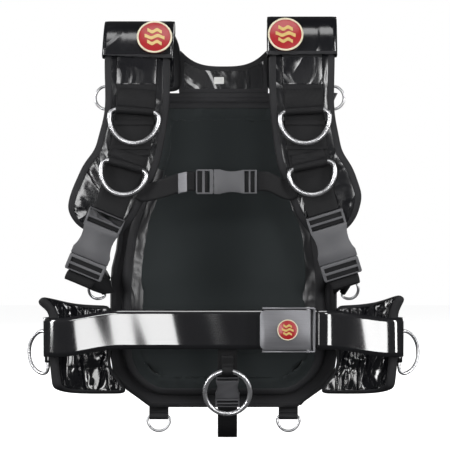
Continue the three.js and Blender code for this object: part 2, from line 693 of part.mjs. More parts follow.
const cam = {
  left: camBuckle.centre - camBuckle.length / 2,
  right: camBuckle.centre + camBuckle.length / 2,
  beltDepth: -130,
};
const fixedDepth = cam.beltDepth - belt.thickness - 2 * CURVE_GAP;
const tailEnd = cam.right + 14;
const beltLines = {
  left: beltCurve("left", [vec(-120, -126, 0), vec(-50, -129.6, 0), vec(20, cam.beltDepth, 0),
    vec(cam.left, cam.beltDepth, 0), vec(cam.right, cam.beltDepth, 0), vec(tailEnd, cam.beltDepth, 0)]),
  right: beltCurve("right", [vec(150, -127, 0), vec(cam.right + 20, fixedDepth, 0),
    vec(cam.right + 3, fixedDepth, 0)]),
};

for (const [side, { sign }] of Object.entries(shoulderSides)) {
  piece(`hip_wing_${side}`, wingGeometry(side), finishes.coated);
  const barOutside = beltOutside + belt.thickness / 2 + waistRing.wire + CLEAR + 0.4;
  const bar = wingPoint(side, waistRing.share, barOutside, waistRing.height);
  const ringPlace = new THREE.Matrix4()
    .makeBasis(vec(0, 0, sign), vec(0, 1, 0), vec(-sign, 0, 0)).setPosition(bar);
  const along = side === "left" ? 64 : 40;
  piece(`waist_belt_${side}`, beltGeometry(beltLines[side], along, ringPlace), finishes.beltWeb);
  const swung = new THREE.Matrix4().makeRotationX(THREE.MathUtils.degToRad(waistRing.rest));
  piece(`waist_ring_${side}`, dRing(waistRing), finishes.steel, ringPlace.clone().multiply(swung));
}

const pinDepth = cam.beltDepth - belt.thickness / 2 - CLEAR - camBuckle.knuckle - 0.6;
const camPin = vec(cam.right - 8, pinDepth, belt.frontHeight);

// The frame: a sheet behind the belt, a cheek above and below it, and the bar that the fixed belt end is
// sewn to.
function camFrame() {
  const t = camBuckle.sheet;
  const rear = cam.beltDepth + belt.thickness / 2 + CLEAR;
  const cheekDepth = rear + t - camPin.y + camBuckle.pinRadius + 2.5;
  const cheeks = [-1, 1].map((way) =>
    moved(box(camBuckle.length, cheekDepth, t), camBuckle.centre, rear + t - cheekDepth / 2,
      belt.frontHeight + way * (camBuckle.height / 2)));
  const sheetRear = moved(
    box(camBuckle.length, t, camBuckle.height), camBuckle.centre, rear + t / 2, belt.frontHeight);
  const endBar = moved(box(3.2, 3.4, camBuckle.height), cam.right - 0.4, fixedDepth, belt.frontHeight);
  const pinBore = rod(camBuckle.pinRadius + 0.15, camBuckle.height + 8, "z", 16);
  return combine(sheetRear, [...cheeks, endBar], [moved(pinBore, camPin.x, camPin.y, camPin.z)]);
}

// The lever: a blade over the belt, rounded at its free end, with a knuckle that turns on the pin.
function camLever() {
  const blade = new THREE.Shape();
  const half = camBuckle.bladeHeight / 2;
  const reach = camPin.x - cam.left + 3;
  const round = 8;
  blade.moveTo(2.5, -half);
  blade.lineTo(2.5, half);
  blade.lineTo(-reach + round, half);
  blade.quadraticCurveTo(-reach, half, -reach, half - round);
  blade.lineTo(-reach, -half + round);
  blade.quadraticCurveTo(-reach, -half, -reach + round, -half);
  blade.closePath();
  const bladeDepth = -camBuckle.knuckle + camBuckle.sheet / 2;
  const plateBlade = slab(blade, camBuckle.sheet, 5).translate(0, bladeDepth, 0);
  const knuckle = rod(camBuckle.knuckle, camBuckle.bladeHeight, "z", 18);
  return combine(plateBlade, [knuckle], [rod(camBuckle.pinRadius + 0.5, camBuckle.height, "z", 18)]);
}

const camPlace = new THREE.Matrix4().setPosition(camPin);
piece("cam_buckle_frame", camFrame(), finishes.brushed);
piece("cam_buckle_pin", rod(camBuckle.pinRadius, camBuckle.height + 3, "z", 16), finishes.steel, camPlace);
piece("cam_buckle_lever", camLever(), finishes.brushed, camPlace);
piece("cam_lever_badge", rod(beltBadge.radius, beltBadge.thickness, "y", 24), finishes.badge,
  new THREE.Matrix4().setPosition(camBuckle.centre - 1,
    camPin.y - camBuckle.knuckle - GAP - beltBadge.thickness / 2, belt.frontHeight));

// ---------------------------------------------------------------- chest strap

// The chest buckle lies on its side, with its plug to the left.
const chestMouth = chestStrap.buckleCentre - chestBuckle.length / 2 + chestBuckle.bar / 2;
const chestPlace = new THREE.Matrix4().makeRotationY(Math.PI / 2)
  .setPosition(chestMouth, chestStrap.depth, chestStrap.height);
piece("chest_buckle_socket", buckleSocket(chestBuckle), finishes.plastic, chestPlace);
piece("chest_buckle_plug", bucklePlug(chestBuckle), finishes.plastic, chestPlace);

// Each chest web is sewn to its shoulder pad between the shoulder webbing and the pad's inner edge.
for (const [side, shape] of Object.entries(shoulderSides)) {
  const { sign } = shape;
  const curve = shoulderCurve(shape);
  const share = shareAtHeight(curve, chestStrap.height);
  const sewnOut = pad.thickness / 2 + CURVE_GAP + chestStrap.thickness / 2;
  const inner = padInner(chestStrap.height);
  const sewn = strapFrame(curve, share, sewnOut, -sign * (web.width / 2 + CLEAR));
  const leave = strapFrame(curve, share, sewnOut + 0.8, -sign * inner).origin;
  const endAt = side === "left" ? -chestBuckle.bar - CLEAR - 2 * GAP : chestBuckle.length + 2 * GAP;
  const end = vec(0, 0, endAt).applyMatrix4(chestPlace);
  const near = end.clone().add(vec(sign * 14, 1, 0));
  const line = new THREE.CatmullRomCurve3([sewn.origin, leave, near, end], false, "catmullrom", 0.5);
  const surface = (u, v) => {
    const way = sewn.up.clone().lerp(vec(0, 0, 1), THREE.MathUtils.smoothstep(v, 0.05, 0.5)).normalize();
    return line.getPointAt(v).addScaledVector(way, (u - 0.5) * chestStrap.width);
  };
  piece(`chest_web_${side}`, sheet(surface, chestStrap.thickness, 2, 12), finishes.webbing);
}

// ---------------------------------------------------------------- crotch strap

// Down from behind the belt, through the buckle, round the lowest fold and up to the panel's hem.
const crotchLine = [
  [-126, 158], [-125, 130], [-120, 100], [-111, 70], [-98, 40], [-82, 15], [-60, 2], [-38, 10], [-25, 26],
  [panelMiddle, panel.bottom - 1.2 * CURVE_GAP],
];
const crotchCurve = new THREE.CatmullRomCurve3(
  crotchLine.map(([y, z]) => vec(crotch.x, y, z)), false, "catmullrom", 0.5);
const crotchEdges = () => [-crotch.width / 2, crotch.width / 2];
const crotchSocketAt = shareAtHeight(crotchCurve, 88, 0, 0.5);
const ringAt = shareAtHeight(crotchCurve, 93, 0, 0.5);
const crotchOut = -2;
const ringOut = crotchOut + crotchBuckle.thickness / 2 + CLEAR + crotchRing.wire + 0.1;
const ringPlay = 1.7;

const crotchRingPlace = strapMatrix(crotchCurve, ringAt, ringOut);
const crotchTab = ringTab(14, crotchRing, 16, ringPlay, 4).applyMatrix4(crotchRingPlace);
const crotchBore = rod(crotchRing.wire + ringPlay, crotch.width + 2, "x", 14).applyMatrix4(crotchRingPlace);
piece("crotch_web_upper", combine(
  strip(crotchCurve, 0, crotchSocketAt, crotchEdges, 0, crotch.thickness, 2, 14), [crotchTab], [crotchBore]),
finishes.webbing);
const circle = new THREE.Path();
circle.absarc(0, -crotchRing.radius, crotchRing.radius, 0, 2 * Math.PI);
piece("crotch_ring", wireLoop(circle, crotchRing.wire, 28, 8), finishes.steel, crotchRingPlace);

const crotchSocketPlace = strapMatrix(crotchCurve, crotchSocketAt + 0.07, crotchOut).setPosition(
  strapFrame(crotchCurve, crotchSocketAt, crotchOut).origin.addScaledVector(
    strapFrame(crotchCurve, crotchSocketAt + 0.07).up, -crotchBuckle.length - GAP));
piece("crotch_buckle_socket", buckleSocket(crotchBuckle), finishes.plastic, crotchSocketPlace);
piece("crotch_buckle_plug", bucklePlug(crotchBuckle), finishes.plastic, crotchSocketPlace);
const crotchFoot = vec(0, 0, -crotchBuckle.bar - 2).applyMatrix4(crotchSocketPlace);
const lowerFrom = shareAtHeight(crotchCurve, crotchFoot.z, 0, 0.6);
piece("crotch_web_lower", strip(crotchCurve, lowerFrom, 1, crotchEdges, 0, crotch.thickness, 2, 22),
  finishes.webbing);

// ---------------------------------------------------------------- rings on the hem

for (const [side, { sign }] of Object.entries(shoulderSides)) {
  piece(`hem_ring_${side}`, dRing(hemRing), finishes.steel,
    new THREE.Matrix4().setPosition(sign * hemRing.across, panelMiddle, hemRing.height));
}

export default group;
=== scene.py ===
"""The looks of a dive harness pack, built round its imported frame: padded panels bound with tape, ribbed
webbing, moulded release buckles, steel rings and round badges. Everything is in metres, in the frame's own
axes."""

import json
import math

import bmesh
import bpy
from mathutils import Matrix, Vector
from mathutils.bvhtree import BVHTree


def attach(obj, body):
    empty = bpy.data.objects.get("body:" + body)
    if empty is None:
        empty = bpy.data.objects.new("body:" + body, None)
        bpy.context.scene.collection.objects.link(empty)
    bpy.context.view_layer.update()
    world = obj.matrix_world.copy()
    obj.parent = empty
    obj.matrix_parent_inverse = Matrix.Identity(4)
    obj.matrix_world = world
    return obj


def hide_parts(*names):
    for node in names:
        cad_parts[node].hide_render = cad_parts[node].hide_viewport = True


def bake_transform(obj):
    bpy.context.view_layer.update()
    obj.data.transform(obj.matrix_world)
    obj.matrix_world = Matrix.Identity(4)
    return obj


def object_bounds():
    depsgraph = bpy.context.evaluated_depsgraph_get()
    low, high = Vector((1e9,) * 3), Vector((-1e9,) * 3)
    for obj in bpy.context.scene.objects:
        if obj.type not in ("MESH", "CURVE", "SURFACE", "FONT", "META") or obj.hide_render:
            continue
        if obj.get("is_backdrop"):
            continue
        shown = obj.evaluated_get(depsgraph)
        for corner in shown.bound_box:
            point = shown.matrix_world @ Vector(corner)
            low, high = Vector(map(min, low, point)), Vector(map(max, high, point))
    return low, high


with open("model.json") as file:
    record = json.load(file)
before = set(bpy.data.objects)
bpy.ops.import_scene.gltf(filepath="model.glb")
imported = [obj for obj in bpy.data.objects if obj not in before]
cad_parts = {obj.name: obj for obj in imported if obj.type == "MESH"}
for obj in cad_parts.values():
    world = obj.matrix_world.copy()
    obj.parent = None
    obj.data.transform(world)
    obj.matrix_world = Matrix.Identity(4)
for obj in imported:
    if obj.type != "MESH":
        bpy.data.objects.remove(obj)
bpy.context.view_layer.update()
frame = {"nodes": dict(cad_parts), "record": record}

MM = 0.001
SIDES = {"left": -1, "right": 1}
BODIES = frame["record"]["behaviour"]["bodies"]
JOINTS = frame["record"]["behaviour"]["joints"]
BODY_OF = {node: body for body, nodes in BODIES.items() for node in nodes}

TAPE_WIDTH = 8 * MM
TAPE_THICKNESS = 0.7 * MM
BACK_BAND = 20 * MM  # the glossy bands up the back pad's sides, between its tape and its soft middle
BAND_INNER = 75 * MM
BAND_FOOT = -110 * MM
BAND_HEAD = 100 * MM
ROUND_EDGE = math.radians(40)  # an edge sharper than this is rounded
PUFF_FRAMES = 16
HOLD_GAP = 4 * MM  # a pad stays put where another part lies nearer than this


# ---------------------------------------------------------------- shader maths


class Wire:
    """A shader socket that can be used in sums, so that a pattern reads as an expression."""

    def __init__(self, shader, socket):
        self.shader = shader
        self.socket = socket

    def _with(self, operation, other):
        return self.shader.add("ShaderNodeMath", {"operation": operation}, {0: self, 1: other})

    def __add__(self, other):
        return self._with("ADD", other)

    __radd__ = __add__

    def __mul__(self, other):
        return self._with("MULTIPLY", other)

    __rmul__ = __mul__


class Shader:
    """A new material with a Principled surface, and one method that makes every other node."""

    def __init__(self, name, color, roughness, metallic=0.0, **settings):
        self.material = bpy.data.materials.new(name)
        self.material.use_nodes = True
        self.tree = self.material.node_tree
        self.surface = self.tree.nodes["Principled BSDF"]
        values = {"Base Color": (*color, 1.0), "Roughness": roughness, "Metallic": metallic}
        for key, value in {**values, **settings}.items():
            self.surface.inputs[key].default_value = value

    def add(self, kind, settings=None, sockets=None, output=0):
        node = self.tree.nodes.new(kind)
        for key, value in (settings or {}).items():
            if key == "stops":
                self._set_stops(node.color_ramp, value)
            else:
                setattr(node, key, value)
        for key, value in (sockets or {}).items():
            self.link(value, node.inputs[key])
        return Wire(self, node.outputs[output])

    def link(self, value, socket):
        if isinstance(value, Wire):
            self.tree.links.new(value.socket, socket)
        else:
            socket.default_value = value

    def _set_stops(self, ramp, stops):
        while len(ramp.elements) < len(stops):
            ramp.elements.new(1.0)
        for element, (position, level) in zip(ramp.elements, stops):
            element.position = position
            element.color = (level, level, level, 1.0)

    def place(self, scale=(1.0, 1.0, 1.0), uv=False):
        """Where a point lies: on the piece itself, or on its map."""
        source = self.add("ShaderNodeTexCoord", output="UV" if uv else "Object")
        return self.add("ShaderNodeMapping", {}, {"Vector": source, "Scale": scale})

    def noise(self, scale, detail=3.0, stretch=(1.0, 1.0, 1.0), uv=False, distortion=0.0):
        sockets = {"Vector": self.place(stretch, uv), "Scale": scale, "Detail": detail}
        sockets["Distortion"] = distortion
        return self.add("ShaderNodeTexNoise", {}, sockets)

    def ramp(self, value, *stops):
        return self.add("ShaderNodeValToRGB", {"stops": stops}, {"Fac": value})

    def wave(self, scale, direction, uv=True):
        settings = {"wave_type": "BANDS", "bands_direction": direction, "wave_profile": "SIN"}
        return self.add("ShaderNodeTexWave", settings, {"Vector": self.place(uv=uv), "Scale": scale})

    def blend_colors(self, mask, first, second):
        sockets = {"Factor": mask, "A": (*first, 1.0), "B": (*second, 1.0)}
        return self.add("ShaderNodeMix", {"data_type": "RGBA"}, sockets, output=2)

    def color(self, value):
        self.link(value, self.surface.inputs["Base Color"])
        return self

    def roughness(self, value):
        self.link(value, self.surface.inputs["Roughness"])
        return self

    def relief(self, height, depth, strength=1.0):
        bump = self.add("ShaderNodeBump", {}, {"Height": height, "Distance": depth, "Strength": strength})
        self.link(bump, self.surface.inputs["Normal"])
        return self


# ---------------------------------------------------------------- finishes


def coated_nylon(name, gloss, run, depth, strength):
    """Black nylon with a shiny coating. Its long folds run up and down; a smaller run makes them longer."""
    s = Shader(name, (0.006, 0.006, 0.008), gloss, **{"IOR": 1.75})
    broad = s.noise(14.0, 1.5, distortion=0.6)
    folds = s.noise(17.0, 1.0, stretch=(1.0, 1.0, run), distortion=1.6)
    creases = s.ramp(folds, (0.42, 0.0), (0.5, 1.0), (0.58, 0.0))
    weave = s.noise(1600.0, 1.0)
    s.color(s.blend_colors(broad, (0.003, 0.0032, 0.0045), (0.008, 0.008, 0.010)))
    s.roughness(gloss + 0.1 * broad + 0.04 * weave)
    return s.relief(creases * 0.6 + broad * 0.6, depth, strength).material


def soft_foam():
    """Matt stretch fabric over foam, black with a little green in it."""
    s = Shader("soft_foam", (0.010, 0.014, 0.015), 0.88, **{"Sheen Weight": 0.12, "Sheen Roughness": 0.5})
    cloud = s.noise(9.0, 4.0)
    grain = s.noise(2400.0, 2.0)
    s.color(s.blend_colors(cloud * 0.7 + grain * 0.3, (0.004, 0.007, 0.008), (0.016, 0.022, 0.023)))
    s.roughness(0.78 + 0.16 * grain)
    return s.relief(grain * 0.5 + cloud, 0.5 * MM, 0.5).material


def woven_nylon():
    """Coarse matt pack cloth."""
    s = Shader("woven_nylon", (0.018, 0.018, 0.020), 0.8)
    grid = s.wave(420.0, "X", uv=False) + s.wave(420.0, "Z", uv=False)
    s.color(s.blend_colors(grid * 0.5, (0.008, 0.008, 0.010), (0.030, 0.030, 0.033)))
    s.roughness(0.68 + 0.1 * grid)
    return s.relief(grid, 0.25 * MM, 0.6).material


def binding_tape():
    """Grosgrain tape that wraps the raw edges: fine ribs across it."""
    s = Shader("binding_tape", (0.02, 0.02, 0.022), 0.7, **{"Specular IOR Level": 0.3})
    rib = s.noise(900.0, 1.0, stretch=(1.0, 1.0, 1.0))
    wear = s.noise(30.0, 4.0)
    s.color(s.blend_colors(wear, (0.012, 0.012, 0.0135), (0.026, 0.026, 0.0285)))
    s.roughness(0.6 + 0.2 * rib)
    return s.relief(rib + wear, 0.35 * MM, 0.7).material


def webbing(name, dark, light, gloss, shine):
    """Ribbed webbing. Its map runs along the strap in u and across it in v, in metres."""
    s = Shader(name, dark, gloss, **shine)
    picks = s.wave(400.0, "X")
    cords = s.wave(150.0, "Y")
    fuzz = s.noise(700.0, 2.0, uv=True)
    s.color(s.blend_colors(picks * 0.35 + cords * 0.25 + fuzz * 0.4, dark, light))
    s.roughness(gloss + 0.1 * picks + 0.1 * fuzz)
    return s.relief(picks * 0.5 + cords * 0.5 + fuzz * 0.2, 0.16 * MM, 0.5).material


def moulded_plastic():
    """Dark grey acetal with a fine spark-eroded grain."""
    s = Shader("moulded_plastic", (0.055, 0.055, 0.060), 0.42)
    grain = s.noise(1500.0, 2.0)
    cloud = s.noise(25.0, 3.0)
    s.color(s.blend_colors(cloud, (0.070, 0.070, 0.076), (0.125, 0.125, 0.133)))
    s.roughness(0.34 + 0.18 * grain)
    return s.relief(grain, 0.12 * MM, 0.5).material


def polished_steel():
    """Round stainless wire, polished, with fine marks from use."""
    s = Shader("polished_steel", (0.62, 0.62, 0.64), 0.26, metallic=0.85)
    marks = s.noise(70.0, 2.0, distortion=1.0)
    s.color(s.blend_colors(marks, (0.50, 0.50, 0.52), (0.68, 0.68, 0.69)))
    s.roughness(0.22 + 0.12 * marks)
    return s.relief(marks, 0.04 * MM, 0.1).material


def brushed_steel(name="brushed_steel", dark=(0.13, 0.13, 0.14), light=(0.24, 0.24, 0.255)):
    """Sheet steel brushed along x."""
    s = Shader(name, light, 0.36, metallic=0.5)
    strokes = s.noise(900.0, 3.0, stretch=(0.03, 1.0, 1.0))
    cloud = s.noise(18.0, 3.0)
    s.color(s.blend_colors(strokes * 0.6 + cloud * 0.4, dark, light))
    s.roughness(0.26 + 0.2 * strokes)
    return s.relief(strokes, 0.05 * MM, 0.5).material


def enamel(name, color, roughness=0.28):
    """Soft moulded badge rubber with a slight gloss."""
    s = Shader(name, color, roughness, **{"Coat Weight": 0.3, "Coat Roughness": 0.15})
    cloud = s.noise(260.0, 3.0)
    darker = tuple(level * 0.8 for level in color)
    s.color(s.blend_colors(cloud, darker, color))
    s.roughness(roughness + 0.12 * cloud)
    return s.relief(cloud, 0.08 * MM, 0.4).material


def plain_tape():
    """Pale woven label tape."""
    s = Shader("label_tape", (0.78, 0.78, 0.76), 0.7)
    grid = s.wave(500.0, "X", uv=False) + s.wave(500.0, "Z", uv=False)
    s.color(s.blend_colors(grid * 0.5, (0.66, 0.66, 0.64), (0.84, 0.84, 0.82)))
    return s.relief(grid, 0.1 * MM, 0.4).material


MATT = {"Specular IOR Level": 0.25}
BELT_COAT = {"Coat Weight": 1.0, "Coat Roughness": 0.09, "Coat IOR": 2.0, "Specular IOR Level": 0.1}

FINISH = {
    "coated": coated_nylon("coated_nylon", 0.12, 0.5, 1.8 * MM, 0.5),
    "creased": coated_nylon("creased_nylon", 0.08, 0.3, 4.5 * MM, 0.8),
    "satin": coated_nylon("satin_nylon", 0.27, 0.3, 1.5 * MM, 0.3),
    "foam": soft_foam(),
    "woven": woven_nylon(),
    "tape": binding_tape(),
    "webbing": webbing("webbing", (0.003, 0.003, 0.0035), (0.015, 0.015, 0.0165), 0.55, MATT),
    "belt": webbing("belt_webbing", (0.003, 0.003, 0.004), (0.008, 0.008, 0.010), 0.4, BELT_COAT),
    "plastic": moulded_plastic(),
    "steel": polished_steel(),
    "brushed": brushed_steel(),
    "plate": brushed_steel("plate_steel", (0.20, 0.21, 0.22), (0.36, 0.37, 0.38)),
    "red": enamel("badge_red", (0.42, 0.008, 0.014)),
    "gold": enamel("badge_gold", (0.72, 0.50, 0.16)),
    "cream": enamel("badge_cream", (0.80, 0.72, 0.52)),
    "label": plain_tape(),
}


# ---------------------------------------------------------------- modelling helpers


def deselect_all():
    if bpy.context.object and bpy.context.object.mode != "OBJECT":
        bpy.ops.object.mode_set(mode="OBJECT")
    bpy.ops.object.select_all(action="DESELECT")


def take(piece):
    """Makes a piece the one that operators act on."""
    deselect_all()
    piece.select_set(True)
    bpy.context.view_layer.objects.active = piece
    return piece


def edit(piece, *steps):
    """Runs operators on all of a piece's mesh, each given as (operator, its settings)."""
    take(piece)
    bpy.ops.object.mode_set(mode="EDIT")
    bpy.ops.mesh.select_all(action="SELECT")
    for operator, settings in steps:
        operator(**settings)
    bpy.ops.object.mode_set(mode="OBJECT")
    return piece


def apply(piece, kind, **settings):
    """Adds a modifier, sets it and applies it."""
    take(piece)
    modifier = piece.modifiers.new(kind.lower(), kind)
    for key, value in settings.items():
        setattr(modifier, key, value)
    bpy.ops.object.modifier_apply(modifier=modifier.name)
    return piece


def smooth(piece, angle=40):
    take(piece)
    bpy.ops.object.shade_smooth_by_angle(angle=math.radians(angle))
    return piece


def copy_of(node, name, quads=True):
    """A copy of a CAD node with its own merged mesh."""
    piece = frame["nodes"][node].copy()
    piece.data = piece.data.copy()
    for key in list(piece.keys()):
        del piece[key]
    piece.parent = None
    piece.name = name
    piece.data.name = name
    bpy.context.scene.collection.objects.link(piece)
    piece.hide_viewport = False
    piece.hide_render = False
    piece.hide_set(False)
    steps = [(bpy.ops.mesh.remove_doubles, {"threshold": 0.02 * MM})]
    if quads:
        limits = {"face_threshold": math.radians(50), "shape_threshold": math.radians(60)}
        steps.append((bpy.ops.mesh.tris_convert_to_quads, limits))
    return edit(piece, *steps)


def finish_piece(piece, body, finish, angle=40, replaced=()):
    """Gives a piece its material and its body, and hides the CAD nodes that it stands for."""
    if finish:
        piece.data.materials.clear()
        piece.data.materials.append(FINISH[finish])
    smooth(piece, angle)
    if body:
        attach(piece, body)
    if replaced:
        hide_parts(*replaced)
    return piece


def patches(piece, angle=50):
    """The mesh's faces in groups that meet at sharp edges, the largest first."""
    mesh = bmesh.new()
    mesh.from_mesh(piece.data)
    mesh.faces.ensure_lookup_table()
    left = set(range(len(mesh.faces)))
    groups = []
    limit = math.radians(angle)
    while left:
        stack = [left.pop()]
        group = set(stack)
        while stack:
            for edge in mesh.faces[stack.pop()].edges:
                if len(edge.link_faces) != 2 or edge.calc_face_angle(0) > limit:
                    continue
                for face in edge.link_faces:
                    if face.index in left:
                        left.discard(face.index)
                        group.add(face.index)
                        stack.append(face.index)
        groups.append(group)
    areas = {id(g): sum(mesh.faces[i].calc_area() for i in g) for g in groups}
    mesh.free()
    return sorted(groups, key=lambda g: -areas[id(g)])


def choose_faces(piece, indices):
    """Selects these faces only, and enters edit mode with them."""
    take(piece)
    bpy.ops.object.mode_set(mode="EDIT")
    bpy.ops.mesh.select_mode(type="FACE")
    bpy.ops.mesh.select_all(action="DESELECT")
    bpy.ops.object.mode_set(mode="OBJECT")
    chosen = set(indices)
    for polygon in piece.data.polygons:
        polygon.select = polygon.index in chosen
    bpy.ops.object.mode_set(mode="EDIT")


def inset_patch(piece, indices, width, inner, rim):
    """Insets a patch by a width. Its middle is marked as material inner, and its rim as material rim."""
    for index in indices:
        piece.data.polygons[index].material_index = rim
    choose_faces(piece, indices)
    bpy.ops.mesh.inset(thickness=width, depth=0.0, use_even_offset=True, use_boundary=True)
    bpy.ops.object.mode_set(mode="OBJECT")
    for polygon in piece.data.polygons:
        if polygon.select:
            polygon.material_index = inner


def marked(piece, *marks):
    return [p.index for p in piece.data.polygons if p.material_index in marks]


def lift_off(piece, name, indices, thickness, even=True):
    """A copy of some faces as a closed layer that lies on the piece."""
    layer = piece.copy()
    layer.data = piece.data.copy()
    layer.name = name
    layer.data.name = name
    bpy.context.scene.collection.objects.link(layer)
    keep = set(indices)
    choose_faces(layer, [p.index for p in layer.data.polygons if p.index not in keep])
    bpy.ops.mesh.delete(type="FACE")
    bpy.ops.object.mode_set(mode="OBJECT")
    apply(layer, "SOLIDIFY", thickness=thickness, offset=1.0, use_even_offset=even, use_rim=True)
    return layer


def near_any(piece, nodes, distance):
    """The indices of a piece's vertices that lie within a distance of any of these CAD nodes."""
    found = set()
    for node in nodes:
        other = frame["nodes"][node].data
        tree = BVHTree.FromPolygons([v.co for v in other.vertices], [p.vertices for p in other.polygons])
        for vertex in piece.data.vertices:
            if tree.find_nearest(vertex.co, distance)[0] is not None:
                found.add(vertex.index)
    return found


def puff(piece, held, pressure, growth, reach):
    """Fills a padded piece by cloth simulation. The held vertices stay in it, and none moves further than
    reach. They are smoothed afterwards, which draws the piece's edge in and leaves its middle as filled."""
    start = [v.co.copy() for v in piece.data.vertices]
    piece.vertex_groups.new(name="held").add(sorted(held), 1.0, "REPLACE")
    take(piece)
    cloth = piece.modifiers.new("cloth", "CLOTH")
    settings = cloth.settings
    settings.quality = 6
    settings.mass = 0.2
    settings.tension_stiffness = 20
    settings.compression_stiffness = 12
    settings.bending_stiffness = 0.6
    settings.use_pressure = True
    settings.uniform_pressure_force = pressure
    settings.shrink_min = -growth
    settings.vertex_group_mass = "held"
    settings.effector_weights.gravity = 0
    cloth.point_cache.frame_start = 1
    cloth.point_cache.frame_end = PUFF_FRAMES
    for number in range(1, PUFF_FRAMES + 1):
        bpy.context.scene.frame_set(number)
    take(piece)
    bpy.ops.object.modifier_apply(modifier=cloth.name)
    bpy.context.scene.frame_set(1)
    for vertex, origin in zip(piece.data.vertices, start):
        move = vertex.co - origin
        if move.length > reach:
            vertex.co = origin + move * (reach / move.length)
    apply(piece, "SMOOTH", factor=0.6, iterations=30, vertex_group="held")
    piece.vertex_groups.clear()
    return piece


def map_strip(piece, progress, across, bins=90):
    """Gives a strap a map in metres: u along it, by its progress from end to end, and v across it."""
    values = [progress(v.co) for v in piece.data.vertices]
    low, high = min(values), max(values)
    sums = [[Vector(), 0] for _ in range(bins + 1)]
    for vertex, value in zip(piece.data.vertices, values):
        cell = sums[round((value - low) / (high - low) * bins)]
        cell[0] += vertex.co
        cell[1] += 1
    step = (high - low) / bins
    stations = [(low + step * i, total / count) for i, (total, count) in enumerate(sums) if count]
    lengths = [0.0]
    for (_, a), (_, b) in zip(stations, stations[1:]):
        lengths.append(lengths[-1] + (b - a).length)
    layer = piece.data.uv_layers.new(name="map")
    across = Vector(across).normalized()

    def place(point, value):
        after = next((i for i, (at, _) in enumerate(stations) if at > value), len(stations) - 1)
        after = max(1, after)
        (v0, p0), (v1, p1) = stations[after - 1], stations[after]
        share = (value - v0) / (v1 - v0)
        run = lengths[after - 1] + share * (lengths[after] - lengths[after - 1])
        return (run, (point - p0.lerp(p1, share)).dot(across))

    spots = [place(v.co, value) for v, value in zip(piece.data.vertices, values)]
    for loop in piece.data.loops:
        layer.data[loop.index].uv = spots[loop.vertex_index]
    return piece


# ---------------------------------------------------------------- padded panels


def crease_edges(piece, amount, angle=50):
    """Keeps the sharp edges of a sheet while the rest of it is rounded."""
    take(piece)
    bpy.ops.object.mode_set(mode="EDIT")
    bpy.ops.mesh.select_mode(type="EDGE")
    bpy.ops.mesh.select_all(action="DESELECT")
    bpy.ops.mesh.edges_select_sharp(sharpness=math.radians(angle))
    bpy.ops.transform.edge_crease(value=amount)
    bpy.ops.object.mode_set(mode="OBJECT")
    return piece


def bound_pad(node, name, held_by, pressure, growth, reach, band=0.0, finish="coated", middle=None,
              crease=0.4, tape_width=TAPE_WIDTH):
    """A padded panel in place of a CAD sheet: it is filled, and its edge is wrapped in tape. Where a band
    is given, a strip of the first finish that wide runs up each side, between the tape and the middle."""
    pad = crease_edges(copy_of(node, name), crease)
    pad.data.materials.clear()
    for key in (finish, "tape", middle or finish, finish):
        pad.data.materials.append(FINISH[key])
    for polygon in pad.data.polygons:
        polygon.material_index = 1
    faces = pad.data.polygons
    depths = [(sum(faces[i].center.y for i in group) / len(group), group) for group in patches(pad)[:2]]
    (_, front), (_, back) = sorted(depths, key=lambda pair: pair[0])
    inset_patch(pad, front, tape_width, inner=2, rim=1)
    inset_patch(pad, back, tape_width, inner=3, rim=1)
    if band:
        inset_patch(pad, marked(pad, 2), band, inner=2, rim=0)
        for index in marked(pad, 0):
            place = faces[index].center
            if abs(place.x) < BAND_INNER or not BAND_FOOT < place.z < BAND_HEAD:
                faces[index].material_index = 2
    apply(pad, "SUBSURF", levels=2, render_levels=2, boundary_smooth="PRESERVE_CORNERS")
    taped = {v for p in pad.data.polygons if p.material_index == 1 for v in p.vertices}
    puff(pad, taped | near_any(pad, held_by, HOLD_GAP), pressure, growth, reach)
    body = BODY_OF[node]
    tape = lift_off(pad, name + "_tape", marked(pad, 1), TAPE_THICKNESS)
    apply(tape, "BEVEL", width=0.25 * MM, segments=1, limit_method="ANGLE", angle_limit=math.radians(50))
    finish_piece(tape, body, "tape", 60)
    smooth(pad, 70)
    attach(pad, body)
    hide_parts(node)
    return pad


for side in SIDES:
    on_pad = ("shoulder_web", "shoulder_cuff", "chest_web", "shoulder_buckle_socket")
    webs = [f"{part}_{side}" for part in on_pad]
    bound_pad(f"shoulder_pad_{side}", f"padded_strap_{side}", webs,
              pressure=2.0, growth=0.006, reach=2.5 * MM)
    bound_pad(f"hip_wing_{side}", f"padded_wing_{side}", [f"waist_belt_{side}", "rear_panel"],
              pressure=2.5, growth=0.014, reach=6 * MM,
              finish="creased", crease=0.9, tape_width=4 * MM)
bound_pad("back_pad", "padded_back", ["rear_panel"], pressure=4.0, growth=0.02, reach=5 * MM,
          band=BACK_BAND, finish="satin", middle="foam")


# ---------------------------------------------------------------- webbing and tabs


def follow_plug(piece, plug, web=None):
    """Bakes the transform of a web, or of a loop on a web, into its mesh. It sorts the web's points by
    distance from a sliding plug (the web's sewn end is the end further from the plug), but nothing is bent
    between them."""
    corners = [v.co for v in frame["nodes"][plug].data.vertices]
    middle = sum(corners, Vector()) / len(corners)
    points = [v.co.copy() for v in (web or piece).data.vertices]
    run = sorted(points, key=lambda point: (point - middle).length)
    tuple(run[0])
    tuple(run[-1])
    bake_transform(piece)


def strap(node, name, progress, across, finish="webbing", levels=2, crease=0.9, plug=None):
    """A strap in place of its CAD sheet, rounded along its run and mapped for the weave. Where it is sewn to
    the pack and looped through a sliding plug, it is given no body and its transform is baked into its mesh;
    it does not bend."""
    piece = copy_of(node, name)
    crease_edges(piece, crease)
    apply(piece, "SUBSURF", levels=levels, render_levels=levels)
    map_strip(piece, progress, across)
    finish_piece(piece, None if plug else BODY_OF[node], finish, 50, [node])
    if plug:
        follow_plug(piece, plug)
    return piece


